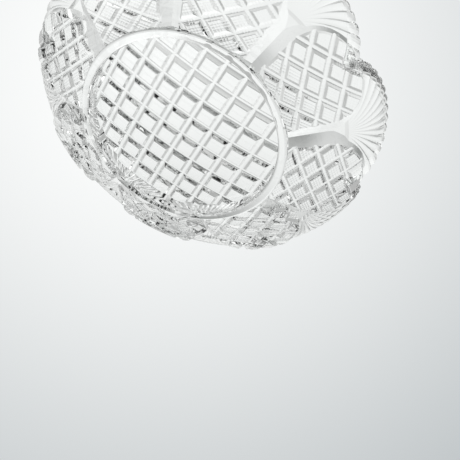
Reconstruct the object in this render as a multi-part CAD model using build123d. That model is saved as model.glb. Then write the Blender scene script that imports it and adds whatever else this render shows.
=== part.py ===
"""Pressed-glass dappen dish in the strawberry-diamond-and-fan pattern.

The dish is a single moulding of clear glass.  It stands on a plain foot ring.
Inside the ring the underside carries a square field of raised tiles.  Outside
it the wall carries eight arched panels of raised tiles, parted by mitred
valleys, and a fluted fan opens out of every valley up to a scalloped rim.

Millimetres, +Z up, the origin is the centre of the foot ring on the surface
the dish stands on.  The "ground" of the wall and of the underside is the
surface that holds the creases of the grooves between the tiles.
"""
import math
import os

from build123d import *

# ---- driving sizes -------------------------------------------------------
PANELS = 8                  # arched panels, valleys, fans and rim lobes
HEIGHT = 15.6               # foot land to the crown of a rim lobe
FOOT_DIAMETER = 45.8        # over the outside of the foot ring
FOOT_LAND = 2.1             # width of the flat the dish stands on
FOOT_DRAFT = 0.24           # how far the inner side of the ring leans
WELL_RISE = 0.85            # ground above the foot plane, at the centre
WELL_RADIUS = 93.0          # spherical bulge of the underside inside the ring
WALL_ROOT = 1.25            # ground above the foot plane, at the ring
WALL_SLOPE = 27.0           # degrees, straight part of the wall
WALL_STRAIGHT = 12.5        # length of the straight part up the slope
WALL_BEND = 10.7            # radius that turns the wall up to the rim
GLASS = 3.4                 # glass between ground and bowl
LIP = 2.4                   # glass at the rim
BED = 0.72                  # plain body below the ground under the tiles
PANEL_BED = 2.4             # the same under the panels of the wall
BOWL_RADIUS = 140.0         # spherical bottom of the bowl
COVE_FACETS = 4             # flats that turn the bowl wall up to the rim

TILE_HEIGHT = 0.6           # tile tops above the creases between them
TILE_FLANK = 38.0           # degrees, sides of the tiles
LATTICE_PITCH = 4.8         # square tile field inside the foot ring
LATTICE_SHIFT = (0.24, 1.0)  # crease crossing nearest the dish axis
LATTICE_TURN = 11.4         # degrees, tile field against the panels

DIAMOND_WIDTH = 7.06        # panel lattice, across the panel
DIAMOND_LENGTH = 5.08       # panel lattice, up the wall
DIAMOND_ROOT = 9.8          # lattice crossing on the panel's centre line, up the wall
ARCH_ANGLE = 17.6           # degrees, half width of a panel
ARCH_SPRING = 9.1           # straight sides of a panel, up the wall
ARCH_RISE = 7.9             # height of the arched head above that
ARCH_FACETS = 10            # flats that make up the arched head
MITRE_SLOPE = 30.0          # degrees, sides of the valleys between panels
VALLEY = 1.4                # floor of those valleys below the ground, up to the spring

FAN_START = 13.2            # foot of the fans, up the wall
FAN_STEP = 0.12             # step from the valley floor up to the fan
FAN_SINK = 0.45             # flute ridges below the ground at the foot of the fan
FAN_LIFT = 0.12             # the same at the rim
FLUTES = 13                 # flutes in one fan
FLUTE_FOCUS = 12.0          # point the flutes spread from, up the wall
FLUTE_DEPTH = 0.6           # flute crease below its ridges, at the rim
FAN_SECTIONS = 5            # level sections that shape a fan
FAN_CROWDING = 1.5          # power that crowds those sections to its foot
SCALLOP = 5.0               # rim lobe crown above the notch between lobes
SPARE = 0.5                 # how far joined and cutting solids run past each other

# ---- sizes that follow ---------------------------------------------------
FOOT_R = FOOT_DIAMETER / 2
FOOT_INNER = FOOT_R - FOOT_LAND - FOOT_DRAFT
SECTOR = 360 / PANELS
SLOPE = math.radians(WALL_SLOPE)
CORE = TILE_HEIGHT + FLUTE_DEPTH    # depth to which the pattern is rooted in the body
BEND_R = FOOT_R + WALL_STRAIGHT * math.cos(SLOPE) - WALL_BEND * math.sin(SLOPE)
BEND_Z = WALL_ROOT + WALL_STRAIGHT * math.sin(SLOPE) + WALL_BEND * math.cos(SLOPE)


def up_wall(s, depth=0.0):
    """(radius, height) at a depth below the ground, a distance s up the wall."""
    a = SLOPE + max(0.0, s - WALL_STRAIGHT) / WALL_BEND
    run = min(0.0, s - WALL_STRAIGHT)
    r = BEND_R + (WALL_BEND - depth) * math.sin(a) + run * math.cos(SLOPE)
    return r, BEND_Z - (WALL_BEND - depth) * math.cos(a) + run * math.sin(SLOPE)


def wall_angle(s):
    """Slope of the wall at a distance s up it, in radians."""
    return SLOPE + max(0.0, s - WALL_STRAIGHT) / WALL_BEND


def s_at_radius(r):
    """Distance up the wall at which the ground reaches radius r."""
    sine = min(1.0, (r - BEND_R) / WALL_BEND)
    if sine <= math.sin(SLOPE):
        return (r - FOOT_R) / math.cos(SLOPE)
    return WALL_STRAIGHT + WALL_BEND * (math.asin(sine) - SLOPE)


def s_at_height(z):
    """Distance up the bend of the wall at which the ground reaches height z."""
    return WALL_STRAIGHT + WALL_BEND * (math.acos((BEND_Z - z) / WALL_BEND) - SLOPE)


def r_at_height(z, depth):
    """Radius of the bend of the wall at height z, a depth below the ground."""
    return BEND_R + math.sqrt((WALL_BEND - depth) ** 2 - (BEND_Z - z) ** 2)


def wall_point(angle, s, lift=0.0):
    """Point on the wall, angle in degrees from the panel's centre line."""
    r, z = up_wall(s, -lift)
    t = math.radians(angle)
    return Vector(r * math.cos(t), r * math.sin(t), z)


def wall_normal(angle, s):
    a, t = wall_angle(s), math.radians(angle)
    return Vector(math.sin(a) * math.cos(t), math.sin(a) * math.sin(t), -math.cos(a))


def bulge(r, lowest, radius):
    """Height at radius r of a spherical floor centred on the dish axis."""
    return lowest + radius - math.sqrt(radius ** 2 - r ** 2)


NOTCH_R = up_wall(s_at_height(HEIGHT - SCALLOP))[0]
LOBE_RADIUS = ((NOTCH_R * math.sin(math.radians(SECTOR / 2))) ** 2 + SCALLOP ** 2) / SCALLOP / 2


def make_body():
    """Foot ring and wall, plain up to the fans and sunk under them, left solid inside."""
    top = s_at_height(HEIGHT) + SPARE
    side = [up_wall(s, CORE) for s in (FAN_START, (FAN_START + top) / 2, top)]
    half = FOOT_INNER / 2
    underside = [(r, bulge(r, WELL_RISE, WELL_RADIUS) + BED) for r in (0, half, FOOT_INNER)]
    with BuildSketch(Plane.XZ) as profile:
        with BuildLine():
            ThreePointArc(*underside)
            Polyline(underside[2], (FOOT_INNER, WELL_RISE), (FOOT_R - FOOT_LAND, 0), (FOOT_R, 0),
                     up_wall(0, VALLEY), up_wall(ARCH_SPRING, VALLEY),
                     up_wall(FAN_START, FAN_SINK + FAN_STEP), side[0])
            ThreePointArc(*side)
            Polyline(side[2], (0, side[2][1]), underside[0])
        make_face()
    return revolve(profile.sketch, Axis.Z)


def make_bowl():
    """Space inside the dish: a coved cone with a spherical bottom."""
    turn, top = Vector(*up_wall(WALL_STRAIGHT, GLASS)), Vector(r_at_height(HEIGHT, 0) - LIP, HEIGHT)
    apex = Vector(0, turn.Y - turn.X * math.tan(SLOPE))
    cove = TangentArc(turn, top, tangent=turn - apex)
    above = cove @ 1 + (cove % 1) * 2
    with BuildSketch(Plane.XZ) as profile:
        with BuildLine():
            Polyline(apex, *[cove @ (k / COVE_FACETS) for k in range(COVE_FACETS + 1)],
                     above, (0, above.Y), close=True)
        make_face()
    ball = Pos(0, 0, WELL_RISE + GLASS + BOWL_RADIUS) * Rot(90, 0, 0) * Sphere(BOWL_RADIUS)
    return revolve(profile.sketch, Axis.Z) & ball


def frustum(corners):
    """Flat-topped tile over four points of the ground, its sides meeting its neighbours'."""
    centre = sum(corners, Vector()) / len(corners)
    normal = (corners[2] - corners[0]).cross(corners[3] - corners[1]).normalized()
    if normal.Z > 0:
        normal = -normal
        corners = corners[::-1]
    flat = [c - normal * (c - centre).dot(normal) for c in corners]

    def loop(level):
        inset = level / math.tan(math.radians(TILE_FLANK))
        lines = []
        for p, q in zip(flat, flat[1:] + flat[:1]):
            along = (q - p).normalized()
            lines.append((p + normal.cross(along) * inset, along))
        out = []
        for (p, a), (q, b) in zip(lines[-1:] + lines[:-1], lines):
            side = normal.cross(b)
            out.append(p + a * ((q - p).dot(side) / a.dot(side)) + normal * level)
        return out

    low, high = loop(-CORE), loop(TILE_HEIGHT)
    sides = [[low[k], low[(k + 1) % 4], high[(k + 1) % 4], high[k]] for k in range(4)]
    return Solid(Shell([Face(Wire.make_polygon(f, close=True)) for f in [low, high] + sides]))


def inside_foot():
    """Everything inside the middle of the foot land."""
    return Cylinder(FOOT_R - FOOT_LAND / 2, HEIGHT * 2)


def make_well_tiles():
    """Square field of tiles inside the foot ring."""
    count = int(FOOT_INNER / LATTICE_PITCH) + 1
    tiles = []
    for i in range(-count, count):
        for j in range(-count, count):
            grid = [((i + a) * LATTICE_PITCH + LATTICE_SHIFT[0],
                     (j + b) * LATTICE_PITCH + LATTICE_SHIFT[1])
                    for a, b in ((0, 0), (1, 0), (1, 1), (0, 1))]
            radii = sorted(math.hypot(x, y) for x, y in grid)
            if radii[0] > FOOT_INNER:
                continue
            tile = frustum([Vector(x, y, bulge(math.hypot(x, y), WELL_RISE, WELL_RADIUS))
                            for x, y in grid])
            tiles.append(tile if radii[3] < FOOT_INNER else tile & inside_foot())
    return [Rot(0, 0, LATTICE_TURN) * tile for tile in tiles]


def lattice_point(i, j):
    """Crossing (i, j) of the diamond lattice of the panel on the X axis."""
    across = i * DIAMOND_WIDTH / 2
    along = up_wall(DIAMOND_ROOT + j * DIAMOND_LENGTH / 2)[0]
    return wall_point(math.degrees(math.atan2(across, along)),
                      s_at_radius(math.hypot(across, along)))


def arch_outline():
    """Where a panel's mitred side crosses the ground, as (degrees, distance up the wall)."""
    head = [math.pi * k / ARCH_FACETS for k in range(ARCH_FACETS + 1)]
    arch = [(ARCH_ANGLE * math.cos(a), ARCH_SPRING + ARCH_RISE * math.sin(a)) for a in head]
    return [(ARCH_ANGLE, 0.0)] + arch + [(-ARCH_ANGLE, 0.0)]


def in_arch(point, margin):
    """Whether a point of the wall lies inside a panel or within margin of it."""
    reach = math.hypot(point.X, point.Y)
    angle = math.degrees(math.atan2(point.Y, point.X))
    s = s_at_radius(reach)
    wide = ARCH_ANGLE + math.degrees(margin / reach)
    rise = max(0.0, s - ARCH_SPRING) / (ARCH_RISE + margin)
    return s > -margin and (angle / wide) ** 2 + rise ** 2 < 1


def mitre(panel, start, end):
    """Cut one mitred flat along the panel edge from start to end."""
    p, q = wall_point(*start), wall_point(*end)
    normal = wall_normal(*[(a + b) / 2 for a, b in zip(start, end)])
    outward = (q - p).normalized().cross(normal)
    if outward.dot(wall_point(0, ARCH_SPRING) - p) > 0:
        outward = -outward
    slope = math.radians(MITRE_SLOPE)
    face = outward * math.sin(slope) + normal * math.cos(slope)
    return panel.split(Plane(origin=p, z_dir=face), keep=Keep.BOTTOM)


def make_panel():
    """Arched panel of tiles centred on the X axis."""
    reach = ARCH_SPRING + ARCH_RISE + 2 * SPARE
    stations = (reach, (WALL_STRAIGHT + reach) / 2, WALL_STRAIGHT, -2 * SPARE)
    outer = [up_wall(s, BED) for s in stations]
    inner = [up_wall(s, PANEL_BED) for s in stations]
    with BuildSketch(Plane.XZ) as profile:
        with BuildLine():
            ThreePointArc(*outer[:3])
            Polyline(outer[2], outer[3], inner[3], inner[2])
            ThreePointArc(*inner[2::-1])
            Line(inner[0], outer[0])
        make_face()
    panel = revolve(profile.sketch.rotate(Axis.Z, -SECTOR / 2), Axis.Z, SECTOR)
    tiles = []
    for i in range(-4, 5):
        for j in range(-5, 5):
            if (i + j) % 2 == 0:
                continue
            corners = [lattice_point(i, j - 1), lattice_point(i + 1, j),
                       lattice_point(i, j + 1), lattice_point(i - 1, j)]
            if in_arch(sum(corners, Vector()) / 4, DIAMOND_LENGTH / 2):
                tiles.append(frustum(corners))
    panel = panel.fuse(*tiles) - inside_foot()
    edge = arch_outline()
    for p, q in zip(edge, edge[1:]):
        panel = mitre(panel, p, q)
    return panel


def rim_height(angle):
    """Height of the scalloped rim, angle in degrees from the middle of a lobe."""
    across = NOTCH_R * math.sin(math.radians(angle))
    return HEIGHT - LOBE_RADIUS + math.sqrt(LOBE_RADIUS ** 2 - across ** 2)


def fan_section(z):
    """Level section of a fan, its flutes opening away from the focus."""
    s = s_at_height(z)
    top = s_at_height(HEIGHT)
    sink = FAN_SINK + (FAN_LIFT - FAN_SINK) * math.sqrt((s - FAN_START) / (top - FAN_START))
    outline = []
    for k in range(2 * FLUTES + 1):
        angle = SECTOR * (k / (2 * FLUTES) - 0.5)
        spread = (s - FLUTE_FOCUS) / (s_at_height(rim_height(angle)) - FLUTE_FOCUS)
        crease = FLUTE_DEPTH * spread if k % 2 else 0.0
        outline.append((angle * spread, r_at_height(z, sink + crease)))
    edges = (outline[0], outline[-1])
    ends = [(math.copysign(max(abs(a), SECTOR / 2) + 1, a), r) for a, r in edges]
    inner = [(a, BEND_R) for a, _ in reversed(ends)]
    points = [Vector(r * math.cos(math.radians(a)), r * math.sin(math.radians(a)), z)
              for a, r in [ends[0]] + outline + [ends[1]] + inner]
    return Wire.make_polygon(points, close=True)


def make_fan():
    """Fluted fan over the valley on the X axis."""
    foot, top = up_wall(FAN_START)[1], HEIGHT + SPARE / 10
    levels = [foot + (top - foot) * (k / (FAN_SECTIONS - 1)) ** FAN_CROWDING for k in range(FAN_SECTIONS)]
    fan = Solid.make_loft([fan_section(z) for z in levels], ruled=True)
    for side in (-1, 1):
        edge = Plane.XZ.rotated((0, 0, side * SECTOR / 2))
        fan = fan.split(edge, keep=Keep.BOTTOM if side < 0 else Keep.TOP)
    return fan


def make_rim_cut():
    """Everything above the scalloped rim."""
    low = HEIGHT - SCALLOP - 3 * SPARE
    slab = Pos(0, 0, low) * Cylinder(FOOT_R * 3, HEIGHT * 2,
                                     align=(Align.CENTER, Align.CENTER, Align.MIN))
    slab -= Cylinder(NOTCH_R * 0.7, HEIGHT * 8)
    lobe = Pos(NOTCH_R, 0, HEIGHT - LOBE_RADIUS) * Rot(0, 90, 0) * Cylinder(LOBE_RADIUS, NOTCH_R)
    return slab - [Rot(0, 0, (k + 0.5) * SECTOR) * lobe for k in range(PANELS)]


def around(piece, start=0.0):
    """Copies of a piece in every sector of the dish."""
    return [Rot(0, 0, start + k * SECTOR) * piece for k in range(PANELS)]


def make_dish():
    pattern = make_well_tiles() + around(make_panel()) + around(make_fan(), SECTOR / 2)
    dish = make_body().fuse(*pattern).cut(make_bowl(), make_rim_cut())
    dish.label = "glass_dish"
    return dish


dish = make_dish()
os.makedirs("parts", exist_ok=True)
export_step(dish, "parts/glass_dish.step")
print("glass_dish", dish.bounding_box(), len(dish.solids()), dish.volume)
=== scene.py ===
"""Looks of the pressed-glass dappen dish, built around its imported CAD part.

The CAD dish has flats where the pressed glass is round.  Here the same dish is
made again with rounded tile edges, hollow grooves, smooth arches, coves and
flutes, a thin round rim and the fine net of cuts on the tiles of the panels.
Lengths are in millimetres up to the point where a mesh is written.
"""
import math

import bpy
import numpy as np
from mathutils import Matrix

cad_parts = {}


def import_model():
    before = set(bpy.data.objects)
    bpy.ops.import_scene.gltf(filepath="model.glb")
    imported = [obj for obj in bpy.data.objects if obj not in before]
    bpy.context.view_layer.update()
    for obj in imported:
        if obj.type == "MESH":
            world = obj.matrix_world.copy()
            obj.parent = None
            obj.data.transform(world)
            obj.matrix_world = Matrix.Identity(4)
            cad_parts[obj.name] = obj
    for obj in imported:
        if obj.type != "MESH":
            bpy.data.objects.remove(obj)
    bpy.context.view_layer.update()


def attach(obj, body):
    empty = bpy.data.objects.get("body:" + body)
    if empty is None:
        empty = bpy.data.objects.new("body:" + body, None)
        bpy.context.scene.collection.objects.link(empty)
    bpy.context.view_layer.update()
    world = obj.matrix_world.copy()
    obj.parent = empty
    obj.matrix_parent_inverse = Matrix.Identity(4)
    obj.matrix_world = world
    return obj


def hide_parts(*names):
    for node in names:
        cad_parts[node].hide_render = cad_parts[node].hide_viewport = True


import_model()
MM = 0.001

# ---- sizes shared with the CAD part ------------------------------------------
PANELS = 8                  # arched panels, valleys, fans and rim lobes
HEIGHT = 15.6               # foot land to the crown of a rim lobe
FOOT_R = 22.9               # outside of the foot ring
FOOT_LAND = 2.1             # width of the flat the dish stands on
FOOT_INNER = 20.56          # radius at which the inside of the ring meets the well
WELL_RISE = 0.85            # ground above the foot plane, at the centre
WELL_RADIUS = 93.0          # spherical bulge of the underside inside the ring
WALL_ROOT = 1.25            # ground above the foot plane, at the ring
SLOPE = math.radians(27.0)  # straight part of the wall
WALL_STRAIGHT = 12.5        # length of the straight part up the slope
WALL_BEND = 10.7            # radius that turns the wall up to the rim
GLASS = 3.4                 # glass between ground and bowl
BED = 0.72                  # plain body below the ground under the tiles
PANEL_BED = 2.4             # the same under the panels of the wall
BOWL_RADIUS = 140.0         # spherical bottom of the bowl
TILE_HEIGHT = 0.6           # tile tops above the ground
LATTICE_PITCH = 4.8         # square tile field inside the foot ring
LATTICE_SHIFT = (0.24, 1.0)  # groove crossing nearest the dish axis
LATTICE_TURN = math.radians(11.4)  # tile field against the panels
DIAMOND_WIDTH = 7.06        # panel lattice, across the panel
DIAMOND_LENGTH = 5.08       # panel lattice, up the wall
DIAMOND_ROOT = 9.8          # lattice crossing on the panel's centre line, up the wall
ARCH_ANGLE = 17.6           # degrees, half width of a panel
ARCH_SPRING = 9.1           # straight sides of a panel, up the wall
ARCH_RISE = 7.9             # height of the arched head above that
MITRE = math.radians(30.0)  # sides of the valleys between panels
VALLEY = 1.4                # floor of those valleys below the ground, up to the spring
FAN_START = 13.2            # foot of the fans, up the wall
FAN_STEP = 0.12             # step from the valley floor up to the fan
FAN_SINK = 0.45             # flute ridges below the ground at the foot of the fan
FAN_LIFT = 0.12             # the same at the rim
FAN_CROWDING = 1.5          # power that crowds the levels of a fan to its foot
FLUTES = 13                 # flutes in one fan
FLUTE_FOCUS = 12.0          # point the flutes spread from, up the wall
FLUTE_DEPTH = 0.6           # of the CAD flutes; here it only sets CORE
SCALLOP = 5.0               # rim lobe crown above the notch between lobes
SPARE = 0.5                 # how far the body runs past the rim before it is cut

# ---- finer forms, which the CAD part leaves out --------------------------------
FLOOR = 0.38                # half width of the bottom of a groove
LEVEL = 0.4                 # share of it that is level
FLANK = math.radians(52.0)  # sides of the tiles
SINK = 0.15                 # middle of a groove below the ground
DISH = 0.07                 # rise of a groove's bottom from its middle to its edges
DISH_SLOPE = math.radians(20.0)  # of the bottom at those edges
KNUCKLE = 0.08              # rounding at the foot of a tile's side
SHOULDER = 0.10             # rounding at its top edge
NET_CUTS = 3                # fine cuts each way across a panel tile
NET_DEPTH = 0.025           # of a fine cut
NET_WIDTH = 0.11            # half width of a fine cut
FOOT_ROUND = 0.70           # both edges of the foot's land
WELL_ROUND = 0.3            # where the inside of the ring meets the well
ROOT_ROUND = 0.6            # where its outside meets the valleys
LIP = 1.3                   # glass at the rim
LIP_ROUND = 0.8             # height of the round on the inner edge of the rim
LIP_LAND = 0.3              # flat left outside that round
BOWL_BLEND = 0.25           # softens the turn from the bowl's bottom to its wall
CREASE = 0.42               # depth of the flutes at the rim
CREASE_FADE = 1.7           # power by which they fade toward the foot of the fan
RIDGE_POWER = 2.5           # keeps the flutes' ridges round and their creases narrow
HALF_FLUTE = (0.0, 0.45, 0.75, 0.92, 1.0)  # points of a flute from its ridge to its crease
CHORD = 0.13                # the CAD's flats lie this far inside the round form of the rim
SHARP = math.radians(14.0)  # edges that turn by more than this are shaded sharp

# ---- reach of the solids that trim others --------------------------------------
PANEL_FOOT = -0.9           # foot of a panel, up the wall, inside the ring
# KNOWN FAULT: at 5 the lattice's tip runs past the place where the wall turns vertical, folds
# back over the head of the arch and cuts a pocket into each panel there; at 4 it leaves none
PANEL_TILES = 5             # tiles of a panel each way from its middle, before the arch trims it
BLOCK_RISE = 2.5            # edge of the arched block above the arch, along its sides
BLOCK_FALL = 8.0            # the same below it
BLOCK_MIDDLE = 2.0          # middle of the block's ends below the spring
BLOCK_ENDS = (6.0, -8.0)    # their height above the ground
TRIM_REACH = 9.0            # half height of the drum that trims the tiles of the well
BOWL_REACH = 2.0            # how far the bowl's space runs past the rim
FAN_REACH = 0.05            # how far the fans run past the rim
FOLD = 0.999                # share by which a fan's overrun is folded back to its sector

# ---- fineness of the meshes ----------------------------------------------------
ROUND_STEPS = 120           # steps round a turned surface
CORNER_STEPS = 5            # flats that round off a corner of a profile
WELL_POINTS = 8             # along the profile under the well
BEND_POINTS = 16            # along the bend of the wall
FLOOR_POINTS = 17           # along the bottom of the bowl
COVE_POINTS = 11            # along the cove of the bowl
HEAD_POINTS = 41            # round the head of an arch
SIDE_POINTS = 10            # up one side of it
BASE_POINTS = 12            # along its foot
FAN_LEVELS = 11             # up a fan
LOBE_POINTS = 33            # along a lobe of the rim
LIP_POINTS = 8              # round the inner edge of the rim

# ---- sizes that follow ---------------------------------------------------------
SECTOR = 360 / PANELS
FAN_MARGIN = SECTOR / 12    # a fan's overrun past its sector, in degrees
CORE = TILE_HEIGHT + FLUTE_DEPTH
BEND_R = FOOT_R + WALL_STRAIGHT * math.cos(SLOPE) - WALL_BEND * math.sin(SLOPE)
BEND_Z = WALL_ROOT + WALL_STRAIGHT * math.sin(SLOPE) + WALL_BEND * math.cos(SLOPE)


def up_wall(s, depth=0.0):
    """(radius, height) at a depth below the wall's ground, a distance s up the wall."""
    a = SLOPE + np.maximum(0.0, s - WALL_STRAIGHT) / WALL_BEND
    run = np.minimum(0.0, s - WALL_STRAIGHT)
    r = BEND_R + (WALL_BEND - depth) * np.sin(a) + run * math.cos(SLOPE)
    return r, BEND_Z - (WALL_BEND - depth) * np.cos(a) + run * math.sin(SLOPE)


def s_at_radius(r):
    """Distance up the wall at which its ground reaches radius r."""
    sine = np.clip((r - BEND_R) / WALL_BEND, math.sin(SLOPE), 1.0)
    return np.where((r - BEND_R) / WALL_BEND < math.sin(SLOPE), (r - FOOT_R) / math.cos(SLOPE),
                    WALL_STRAIGHT + WALL_BEND * (np.arcsin(sine) - SLOPE))


def s_at_height(z):
    """Distance up the wall at which the ground of its bend reaches height z."""
    return WALL_STRAIGHT + WALL_BEND * (np.arccos((BEND_Z - z) / WALL_BEND) - SLOPE)


def r_at_height(z, depth):
    """Radius at height z of the bend of the wall, at a depth below its ground."""
    return BEND_R + np.sqrt((WALL_BEND - depth) ** 2 - (BEND_Z - z) ** 2)


def polar(r, degrees, z):
    """Points from radius, direction and height."""
    t = np.radians(degrees)
    return np.stack(np.broadcast_arrays(r * np.cos(t), r * np.sin(t), z), -1)


def wall_point(degrees, s, lift=0.0):
    """Points over the wall's ground, a distance s up the wall."""
    r, z = up_wall(s, -lift)
    return polar(r, degrees, z)


def bulge(r, lowest, radius):
    """Height of a spherical surface that curves up from its middle."""
    return lowest + radius - np.sqrt(radius ** 2 - r ** 2)


NOTCH_R = up_wall(s_at_height(HEIGHT - SCALLOP))[0]
LOBE_RADIUS = ((NOTCH_R * math.sin(math.radians(SECTOR / 2))) ** 2 + SCALLOP ** 2) / SCALLOP / 2


# ---- meshes ------------------------------------------------------------------
def mesh_object(name, points, triangles):
    """Mesh object from points in millimetres."""
    mesh = bpy.data.meshes.new(name)
    points = np.asarray(points, float).reshape(-1, 3) * MM
    triangles = np.asarray(triangles, int).reshape(-1, 3)
    mesh.from_pydata(points.tolist(), [], triangles.tolist())
    obj = bpy.data.objects.new(name, mesh)
    bpy.context.scene.collection.objects.link(obj)
    return obj


def numbers(rows, cols, closed=False):
    """Vertex numbers of a grid of points; a closed one ends each row with its start."""
    index = np.arange(rows * cols).reshape(rows, cols)
    return np.hstack([index, index[:, :1]]) if closed else index


def grid_triangles(index, flip=False, diagonal=None):
    """Triangles of a grid of vertex numbers; diagonal tells which way each square is cut."""
    a, b, c, d = index[:-1, :-1], index[:-1, 1:], index[1:, 1:], index[1:, :-1]
    one = np.stack([a, b, c, a, c, d], -1)
    two = np.stack([a, b, d, b, c, d], -1)
    out = one if diagonal is None else np.where(diagonal[..., None], one, two)
    out = out.reshape(-1, 3)
    return out[:, ::-1] if flip else out


def end_triangles(ring, point, flip=False):
    """Triangles that close a ring of vertex numbers with one point."""
    after = np.roll(ring, -1)
    pair = [ring, after] if flip else [after, ring]
    return np.stack([*pair, np.full(len(ring), point)], -1)


def slab(name, top, bottom, diagonal=None):
    """Closed solid between two grids of points of the same shape."""
    rows, cols = top.shape[:2]
    count = rows * cols
    index = numbers(rows, cols)
    rim = np.concatenate([index[0, :-1], index[:-1, -1], index[-1, :0:-1], index[:0:-1, 0]])
    after = np.roll(rim, -1)
    wall = np.concatenate([np.stack([rim, rim + count, after + count], -1),
                           np.stack([rim, after + count, after], -1)])
    tris = np.concatenate([grid_triangles(index, False, diagonal),
                           grid_triangles(index + count, True), wall])
    return mesh_object(name, np.concatenate([top.reshape(-1, 3), bottom.reshape(-1, 3)]), tris)


def tube(name, loops, ends):
    """Closed solid through loops of points, with one more point to close each end."""
    rows, cols = len(loops), len(loops[0])
    index = numbers(rows, cols)
    tris = np.concatenate([grid_triangles(numbers(rows, cols, closed=True)),
                           end_triangles(index[0], rows * cols),
                           end_triangles(index[-1], rows * cols + 1, True)])
    return mesh_object(name, np.concatenate([*loops, ends]), tris)


def lathe(name, profile):
    """Solid turned round the dish axis; the profile starts and ends on the axis."""
    profile = np.asarray(profile, float)
    inner = profile[1:-1]
    turn = 360 * np.arange(ROUND_STEPS) / ROUND_STEPS
    loops = polar(inner[:, None, 0], turn[None, :], inner[:, None, 1])
    return tube(name, loops, [[0, 0, profile[0, 1]], [0, 0, profile[-1, 1]]])


def outward(obj):
    """Make the faces of a closed mesh point out."""
    mesh = obj.data
    count = len(mesh.polygons)
    verts = np.empty(len(mesh.vertices) * 3)
    mesh.vertices.foreach_get("co", verts)
    corner = np.empty(count * 3, int)
    mesh.loops.foreach_get("vertex_index", corner)
    p = verts.reshape(-1, 3)[corner.reshape(-1, 3)]
    volume = np.einsum("ij,ij->i", p[:, 0], np.cross(p[:, 1], p[:, 2])).sum()
    if volume < 0:
        mesh.flip_normals()
    return obj


def combine(target, others, operation):
    """Boolean of a solid with each of the others, which are used up."""
    for other in others:
        mod = target.modifiers.new("cut", "BOOLEAN")
        mod.operation = operation
        mod.solver = "MANIFOLD"
        mod.object = other
    graph = bpy.context.evaluated_depsgraph_get()
    mesh = bpy.data.meshes.new_from_object(target.evaluated_get(graph))
    target.modifiers.clear()
    target.data = mesh
    for other in others:
        bpy.data.objects.remove(other)
    return target


# ---- pieces of the dish ----------------------------------------------------------
def rounded(corners):
    """Polyline through (x, y, radius) corners, each rounded off by an arc."""
    out = []
    for k, (x, y, radius) in enumerate(corners):
        if not radius:
            out.append((x, y))
            continue
        p = np.array((x, y))
        u = np.subtract(corners[k - 1][:2], p)
        v = np.subtract(corners[k + 1][:2], p)
        u, v = u / np.linalg.norm(u), v / np.linalg.norm(v)
        half = math.acos(np.clip(-u.dot(v), -1, 1)) / 2
        trim = radius * math.tan(half)
        centre = p + (u + v) / np.linalg.norm(u + v) * radius / math.cos(half)
        start, end = p + u * trim - centre, p + v * trim - centre
        for t in np.linspace(0, 1, CORNER_STEPS + 1):
            mix = start * (1 - t) + end * t
            out.append(tuple(centre + mix * radius / np.linalg.norm(mix)))
    return out


def make_body():
    """Foot ring and wall, plain up to the fans and sunk under them, left solid inside."""
    top = s_at_height(HEIGHT) + SPARE
    radii = np.linspace(0, FOOT_INNER, WELL_POINTS)
    under = [(r, bulge(r, WELL_RISE, WELL_RADIUS) + BED, 0) for r in radii]
    foot = [(FOOT_INNER, WELL_RISE, WELL_ROUND), (FOOT_R - FOOT_LAND, 0, FOOT_ROUND),
            (FOOT_R, 0, FOOT_ROUND), (*up_wall(0, VALLEY), ROOT_ROUND),
            (*up_wall(ARCH_SPRING, VALLEY), 0), (*up_wall(FAN_START, FAN_SINK + FAN_STEP), 0)]
    bend = [(*up_wall(s, CORE), 0) for s in np.linspace(FAN_START, top, BEND_POINTS)]
    return lathe("body", rounded(under + foot + bend + [(0, up_wall(top, CORE)[1], 0)]))


# the bowl's wall is a cone up to TURN and a circular cove from there to COVE_TOP
TURN = np.array(up_wall(WALL_STRAIGHT, GLASS))
COVE_TOP = np.array((r_at_height(HEIGHT, 0) - LIP, HEIGHT))
ALONG = np.array((math.cos(SLOPE), math.sin(SLOPE)))
ACROSS = np.array((-ALONG[1], ALONG[0]))
COVE_CHORD = COVE_TOP - TURN
COVE = COVE_CHORD.dot(COVE_CHORD) / 2 / COVE_CHORD.dot(ACROSS)


def bowl_radius(z):
    """Radius of the bowl's wall at height z."""
    centre = TURN + COVE * ACROSS
    cone = TURN[0] - (TURN[1] - z) / math.tan(SLOPE)
    cove = centre[0] + np.sqrt(np.maximum(0, COVE ** 2 - (z - centre[1]) ** 2))
    return np.where(z < TURN[1], cone, cove)


def make_bowl():
    """Space inside the dish: a coved cone with a spherical bottom."""
    sweep = 2 * math.atan2(COVE_CHORD.dot(ACROSS), COVE_CHORD.dot(ALONG))
    r = np.linspace(0, TURN[0], FLOOR_POINTS)[:-1]
    cone = TURN[1] - (TURN[0] - r) * math.tan(SLOPE)
    ball = bulge(r, WELL_RISE + GLASS, BOWL_RADIUS)
    floor = (cone + ball) / 2 + np.hypot((cone - ball) / 2, BOWL_BLEND)
    cove = [TURN + COVE * (ALONG * math.sin(a) + ACROSS * (1 - math.cos(a)))
            for a in np.linspace(0, sweep, COVE_POINTS)]
    lead = ALONG * math.cos(sweep) + ACROSS * math.sin(sweep)
    above = COVE_TOP + lead * BOWL_REACH
    return lathe("bowl", [*zip(r, floor), *cove, above, (0, above[1])])


def turn_steps(x, lift, before, after, tangent, flats=2):
    """Short flats that round off a corner between two slopes, as (x, lift) points."""
    slopes = [before + (after - before) * k / (flats + 1) for k in range(1, flats + 1)]
    middle = (before + after) / 2
    step = 2 * tangent * math.cos(after - middle) / sum(math.cos(slope - middle) for slope in slopes)
    points = [(x - tangent * math.cos(before), lift - tangent * math.sin(before))]
    for slope in slopes:
        points.append((points[-1][0] + step * math.cos(slope), points[-1][1] + step * math.sin(slope)))
    return points


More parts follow.
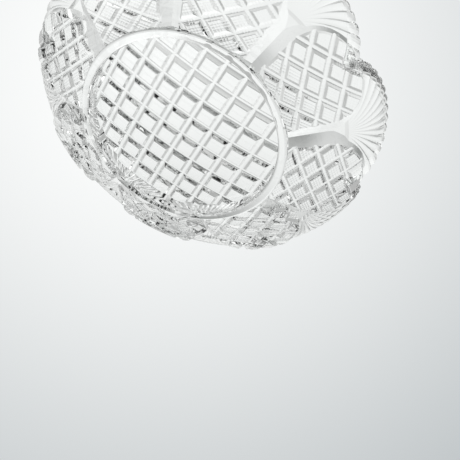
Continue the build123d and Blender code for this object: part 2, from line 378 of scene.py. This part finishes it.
FLANK_RUN = (TILE_HEIGHT + SINK - DISH) / math.tan(FLANK)
SIDE = ([(0.0, -SINK), (FLOOR * LEVEL, -SINK)]  # (distance, lift) from the middle of a groove
        + turn_steps(FLOOR, DISH - SINK, DISH_SLOPE, FLANK, KNUCKLE, flats=1)
        + turn_steps(FLOOR + FLANK_RUN, TILE_HEIGHT, FLANK, 0.0, SHOULDER))


def groove(distance):
    """Lift of a tile's side at a distance from the middle of the groove."""
    return np.interp(distance, *zip(*SIDE))


def cut_place(pitch, cuts, k):
    """Where a fine cut runs, from the middle of the groove before it."""
    return SIDE[-1][0] + (pitch - 2 * SIDE[-1][0]) * (k + 1) / (cuts + 1)


def tile_lines(pitch, cuts):
    """Grid lines across one tile, as fractions of the pitch from one groove to the next."""
    lines = [d for d, _ in SIDE[1:]] + [pitch - d for d, _ in SIDE[1:]]
    for k in range(cuts):
        middle = cut_place(pitch, cuts, k)
        lines += [middle - NET_WIDTH, middle, middle + NET_WIDTH]
    return np.sort(lines) / pitch


def net(fraction, pitch, cuts):
    """Depth of the fine cuts at a place across a tile."""
    out = np.zeros_like(fraction)
    for k in range(cuts):
        away = np.abs(fraction * pitch - cut_place(pitch, cuts, k))
        out = np.maximum(out, NET_DEPTH * (1 - away / NET_WIDTH))
    return out


def relief(u, v, pitch, cuts):
    """Lift of the tile pattern at lattice coordinates u, v, whole numbers in the grooves."""
    fu, fv = u - np.floor(u), v - np.floor(v)
    side = np.minimum(groove(np.minimum(fu, 1 - fu) * pitch), groove(np.minimum(fv, 1 - fv) * pitch))
    return side - np.maximum(net(fu, pitch, cuts), net(fv, pitch, cuts))


def lattice(first, last, pitch, cuts):
    """All grid lines of a run of tiles, in lattice coordinates."""
    lines = tile_lines(pitch, cuts)
    return np.concatenate([k + lines for k in range(first, last)])


def best_diagonal(u, v, pitch, cuts):
    """Which way to cut each square of the grid, so that mitred corners stay crisp."""
    lift = relief(*np.meshgrid(u, v), pitch, cuts)
    middle = relief(*np.meshgrid((u[:-1] + u[1:]) / 2, (v[:-1] + v[1:]) / 2), pitch, cuts)
    one = (lift[:-1, :-1] + lift[1:, 1:]) / 2
    two = (lift[:-1, 1:] + lift[1:, :-1]) / 2
    return np.abs(one - middle) <= np.abs(two - middle)


def make_well_tiles():
    """Square field of tiles inside the foot ring."""
    count = int(FOOT_INNER / LATTICE_PITCH) + 1
    line = lattice(-count - 1, count + 1, LATTICE_PITCH, 0)
    u, v = np.meshgrid(line, line)
    x, y = u * LATTICE_PITCH + LATTICE_SHIFT[0], v * LATTICE_PITCH + LATTICE_SHIFT[1]
    c, s = math.cos(LATTICE_TURN), math.sin(LATTICE_TURN)
    x, y = c * x - s * y, s * x + c * y
    ground = bulge(np.hypot(x, y), WELL_RISE, WELL_RADIUS)
    outer = np.stack([x, y, ground - relief(u, v, LATTICE_PITCH, 0)], -1)
    inner = np.stack([x, y, ground + CORE], -1)
    field = outward(slab("well", outer, inner, best_diagonal(line, line, LATTICE_PITCH, 0)))
    reach = FOOT_R - FOOT_LAND / 2
    drum = lathe("drum", [(0, -TRIM_REACH), (reach, -TRIM_REACH), (reach, TRIM_REACH), (0, TRIM_REACH)])
    return combine(field, [outward(drum)], "INTERSECT")


def make_arch_block():
    """Arched block with mitred sides, from high over the tiles to deep in the wall."""
    head = np.linspace(0, math.pi, HEAD_POINTS)[1:-1]
    side = np.linspace(PANEL_FOOT, ARCH_SPRING, SIDE_POINTS)
    base = np.linspace(-ARCH_ANGLE, ARCH_ANGLE, BASE_POINTS)[1:-1]
    degrees = np.concatenate([np.full(SIDE_POINTS, ARCH_ANGLE), ARCH_ANGLE * np.cos(head),
                              np.full(SIDE_POINTS, -ARCH_ANGLE), base])
    s = np.concatenate([side, ARCH_SPRING + ARCH_RISE * np.sin(head), side[::-1],
                        np.full(len(base), PANEL_FOOT)])
    edge = wall_point(degrees, s)
    slope = SLOPE + np.maximum(0.0, s - WALL_STRAIGHT) / WALL_BEND
    normal = polar(np.sin(slope), degrees, -np.cos(slope))
    arch = len(s) - len(base)
    away = np.zeros_like(edge)      # from the arch, along the wall; the foot drops straight
    away[:arch] = np.cross(normal[:arch], np.gradient(edge[:arch], axis=0))
    away[:arch] /= np.linalg.norm(away[:arch], axis=1, keepdims=True)
    crown = int(np.argmax(s))
    if away[crown] @ (edge[crown] - wall_point(0, ARCH_SPRING)) < 0:
        away = -away
    fall = away * math.cos(MITRE) - normal * math.sin(MITRE)
    rise = normal * math.sin(FLANK) - away * math.cos(FLANK)
    loops = [edge + rise * BLOCK_RISE, edge, edge + fall * BLOCK_FALL / 2, edge + fall * BLOCK_FALL]
    return tube("arch", loops, [wall_point(0, ARCH_SPRING - BLOCK_MIDDLE, lift) for lift in BLOCK_ENDS])


def make_panel():
    """Arched panel of tiles centred on the X axis."""
    half = (DIAMOND_WIDTH / 2, DIAMOND_LENGTH / 2)
    pitch = DIAMOND_WIDTH * half[1] / math.hypot(*half)
    line = lattice(-PANEL_TILES, PANEL_TILES, pitch, NET_CUTS)
    u, v = np.meshgrid(line, line)
    across = (u - v) * half[0]
    along = up_wall(DIAMOND_ROOT + (u + v) * half[1])[0]
    degrees = np.degrees(np.arctan2(across, along))
    s = s_at_radius(np.hypot(across, along))
    outer = wall_point(degrees, s, relief(u, v, pitch, NET_CUTS))
    inner = wall_point(degrees, s, -PANEL_BED)
    field = outward(slab("panel", outer, inner, best_diagonal(line, line, pitch, NET_CUTS)))
    return combine(field, [outward(make_arch_block())], "INTERSECT")


def rim_height(degrees):
    """Height of the scalloped rim, angle from the middle of a lobe."""
    across = NOTCH_R * np.sin(np.radians(degrees))
    return HEIGHT - LOBE_RADIUS + np.sqrt(LOBE_RADIUS ** 2 - across ** 2)


def make_fan():
    """Fluted fan over the valley on the X axis."""
    half = np.array(HALF_FLUTE)
    flute = np.concatenate([half, 2 - half[-2:0:-1]]) / 2
    k = np.append((np.arange(FLUTES)[:, None] + flute).ravel(), FLUTES)
    rim = SECTOR * (k / FLUTES - 0.5)
    dip = (1 - np.abs((k % 1) * 2 - 1)) ** RIDGE_POWER
    foot, top = up_wall(FAN_START)[1], HEIGHT + FAN_REACH
    z = (foot + (top - foot) * np.linspace(0, 1, FAN_LEVELS) ** FAN_CROWDING)[:, None]
    s = s_at_height(z)
    climb = np.maximum(0, s - FAN_START) / (s_at_height(HEIGHT) - FAN_START)
    ridge = FAN_SINK + (FAN_LIFT - FAN_SINK) * np.sqrt(climb) + CHORD
    spread = (s - FLUTE_FOCUS) / (s_at_height(rim_height(rim))[None, :] - FLUTE_FOCUS)
    degrees = rim[None, :] * spread
    r = r_at_height(z, ridge + CREASE * spread ** CREASE_FADE * dip[None, :])
    degrees = np.hstack([degrees[:, :1] - FAN_MARGIN, degrees, degrees[:, -1:] + FAN_MARGIN])
    r = np.hstack([r[:, :1], r, r[:, -1:]])
    beyond = np.maximum(0, np.abs(degrees) - SECTOR / 2)
    degrees = degrees - np.sign(degrees) * beyond * FOLD
    outer = polar(r, degrees, z)
    inner = polar(np.full_like(r, BEND_R), degrees, z)
    return outward(slab("fan", outer, inner))


def make_rim_cut():
    """Everything above the scalloped rim, and the round of its inner edge."""
    across = np.linspace(-SECTOR / 2, SECTOR / 2, LOBE_POINTS)[:-1]
    degrees = np.concatenate([across + SECTOR * (k + 0.5) for k in range(PANELS)])
    low = rim_height(np.tile(across, PANELS))
    inner = bowl_radius(low - LIP_ROUND)
    land = r_at_height(low, 0) - LIP_LAND
    outside, inside, over = NOTCH_R * 1.2, NOTCH_R * 0.7, HEIGHT * 2    # clear of the glass
    section = [(outside, over), (outside, low)]
    for a in np.linspace(0, math.pi / 2, LIP_POINTS):
        section.append((land + (inner - land) * math.sin(a), low - LIP_ROUND * (1 - math.cos(a))))
    section += [(inside, low - LIP_ROUND), (inside, over)]
    points = np.concatenate([polar(r, degrees, z) for r, z in section])
    index = numbers(len(section), len(degrees), closed=True)
    return mesh_object("rim", points, grid_triangles(np.vstack([index, index[:1]])))


def around(piece, start=0.0):
    """The piece turned into every sector of the dish; the piece itself is used up."""
    out = []
    for k in range(PANELS):
        copy = bpy.data.objects.new(piece.name, piece.data.copy())
        bpy.context.scene.collection.objects.link(copy)
        t = math.radians(start + k * SECTOR)
        verts = np.empty(len(copy.data.vertices) * 3)
        copy.data.vertices.foreach_get("co", verts)
        p = verts.reshape(-1, 3)
        p[:, :2] = p[:, :2] @ np.array([[math.cos(t), math.sin(t)], [-math.sin(t), math.cos(t)]])
        copy.data.vertices.foreach_set("co", p.ravel())
        copy.data.update()
        out.append(copy)
    bpy.data.objects.remove(piece)
    return out


def make_dish():
    """The whole moulding: body, tiles, panels and fans, less the bowl and what lies over the rim."""
    dish = outward(make_body())
    combine(dish, [make_well_tiles()] + around(make_panel()) + around(make_fan(), SECTOR / 2), "UNION")
    combine(dish, [outward(make_bowl()), outward(make_rim_cut())], "DIFFERENCE")
    dish.name = dish.data.name = "pressed_dish"
    return dish


def smooth(obj):
    """Smooth shading that keeps the sharp edges."""
    mesh = obj.data
    mesh.polygons.foreach_set("use_smooth", np.ones(len(mesh.polygons), bool))
    mesh.set_sharp_from_angle(angle=SHARP)


# ---- surroundings and glass ----------------------------------------------------
# A patch of light is (azimuth, elevation, reach) in degrees: full toward that
# direction and fading smoothly to nothing at its reach.
# the backdrop that the camera sees carries painted light falloff: near white toward BACKDROP, grey-blue
# painted shade toward its reach
BACKDROP = (110, 53, 45)
BACKDROP_CENTRE = (0.99, 1.0, 0.995)
BACKDROP_PAINTED_SHADE = (0.39, 0.43, 0.45)
ROOM_CENTRE = (0.925, 0.935, 0.93)  # the backdrop as the glass shows it, a little greyer
ROOM_EDGE = (0.47, 0.475, 0.47)
BENCH = (0, -90, 140)       # pale surface under the dish
BENCH_COLOUR = (0.78, 0.80, 0.80)
STUDIO = (                  # patches with a strength: soft lights and, below zero, dark screens
    (187, 45, 50, 0.75),
    (80, 8, 38, 0.50),
    (121, 6, 31, 0.45),
    (157, -60, 48, 1.30),
    (342, 0, 46, 0.80),
    (57, 60, 32, 0.18),
    (96, 36, 17, -0.55),
    (101, -14, 22, -0.60),
)
GLASS_TINT = (0.985, 0.995, 0.99, 1)
GLASS_INDEX = 1.5
WAVE = 0.02                 # height of the waviness of the faces
WAVE_SCALE = 240.0          # waves in a metre
POLISH_SCALE = 90.0         # patches of polish in a metre
POLISH_RANGE = (0.35, 0.7)  # noise at which the polish is best and least
DULLEST = 0.02              # roughness where it is least

# the camera was solved from the circle of the foot ring and the crossings of the well's grooves
CAMERA_PLACE = (0.0292381, -0.1175038, -0.1472854)  # metres
CAMERA_TURN = (140.9786, -19.5164, -17.3122)        # degrees
CAMERA_LENS = 72.2085       # for a sensor 36 wide
CAMERA_SENSOR = 36
CAMERA_NEAR = 0.005         # metres


class Nodes:
    """Short way to write chains of shader nodes."""

    def __init__(self, tree):
        self.tree = tree
        tree.nodes.clear()

    def add(self, kind, values=(), out=0, **settings):
        """Add a node, link or set its inputs and return one of its outputs."""
        node = self.tree.nodes.new("ShaderNode" + kind)
        for key, value in settings.items():
            setattr(node, key, value)
        for key, value in dict(values).items():
            if isinstance(value, bpy.types.NodeSocket):
                self.tree.links.new(value, node.inputs[key])
            else:
                node.inputs[key].default_value = value
        return node.outputs[out] if len(node.outputs) else None


def toward(azimuth, elevation):
    """Direction of length 1 from degrees."""
    a, e = math.radians(azimuth), math.radians(elevation)
    return (math.cos(e) * math.cos(a), math.cos(e) * math.sin(a), math.sin(e))


def glow(n, direction, azimuth, elevation, reach):
    """1 toward a direction, falling smoothly to 0 at the reach."""
    dot = n.add("VectorMath", {0: direction, 1: toward(azimuth, elevation)}, "Value",
                operation="DOT_PRODUCT")
    angle = n.add("Math", {0: dot}, operation="ARCCOSINE")
    return n.add("MapRange", {"Value": angle, "From Min": math.radians(reach), "From Max": 0.0},
                 interpolation_type="SMOOTHSTEP")


def world():
    """Pale backdrop with painted light falloff, and the studio lights that only the glass sees."""
    w = bpy.data.worlds.new("room")
    bpy.context.scene.world = w
    w.use_nodes = True
    n = Nodes(w.node_tree)
    direction = n.add("VectorMath", {0: n.add("TexCoord", out="Generated")}, operation="NORMALIZE")
    backdrop = glow(n, direction, *BACKDROP)
    # painted light falloff: the backdrop is bright toward BACKDROP and in painted shade away from it
    plain = n.add("MixRGB", {0: backdrop, 1: (*BACKDROP_PAINTED_SHADE, 1), 2: (*BACKDROP_CENTRE, 1)})
    plain = n.add("MixRGB", {0: glow(n, direction, *BENCH), 1: plain, 2: (*BENCH_COLOUR, 1)})
    lights = 0.0
    for *patch, strength in STUDIO:
        lights = n.add("Math", {0: glow(n, direction, *patch), 1: strength, 2: lights},
                       operation="MULTIPLY_ADD")
    room = n.add("MixRGB", {0: backdrop, 1: (*ROOM_EDGE, 1), 2: (*ROOM_CENTRE, 1)})
    room = n.add("VectorMath", {0: room, 1: lights}, operation="ADD")
    room = n.add("VectorMath", {0: room, 1: (0, 0, 0)}, operation="MAXIMUM")
    camera_ray = n.add("LightPath", out="Is Camera Ray")
    seen = n.add("MixRGB", {0: camera_ray, 1: room, 2: plain})
    n.add("OutputWorld", {0: n.add("Background", {0: seen})})


def glass():
    """Clear pressed glass: faces a little wavy, and polished more brightly in some places."""
    m = bpy.data.materials.new("clear_glass")
    m.use_nodes = True
    n = Nodes(m.node_tree)
    place = n.add("TexCoord", out="Object")
    wave = n.add("TexNoise", {"Vector": place, "Scale": WAVE_SCALE, "Detail": 3.0, "Roughness": 0.5})
    bump = n.add("Bump", {"Height": wave, "Distance": WAVE * MM})
    patches = n.add("TexNoise", {"Vector": place, "Scale": POLISH_SCALE, "Detail": 2.0})
    polish = n.add("MapRange", {"Value": patches, "From Min": POLISH_RANGE[0],
                                "From Max": POLISH_RANGE[1], "To Min": 0.0, "To Max": DULLEST})
    shader = n.add("BsdfPrincipled", {"Base Color": GLASS_TINT, "Transmission Weight": 1.0,
                                      "IOR": GLASS_INDEX, "Roughness": polish, "Normal": bump})
    n.add("OutputMaterial", {0: shader})
    return m


def camera():
    """Camera of the photo."""
    c = bpy.data.cameras.new("camera")
    o = bpy.data.objects.new("camera", c)
    bpy.context.scene.collection.objects.link(o)
    o.location = CAMERA_PLACE
    o.rotation_euler = [math.radians(a) for a in CAMERA_TURN]
    c.lens = CAMERA_LENS
    c.sensor_width = CAMERA_SENSOR
    c.clip_start = CAMERA_NEAR
    bpy.context.scene.camera = o


world()
camera()
bpy.context.scene.view_settings.view_transform = "Standard"
dish = make_dish()
smooth(dish)
dish.data.materials.clear()
dish.data.materials.append(glass())
dish.data.polygons.foreach_set("material_index", [0] * len(dish.data.polygons))
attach(dish, "root")
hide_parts("glass_dish")
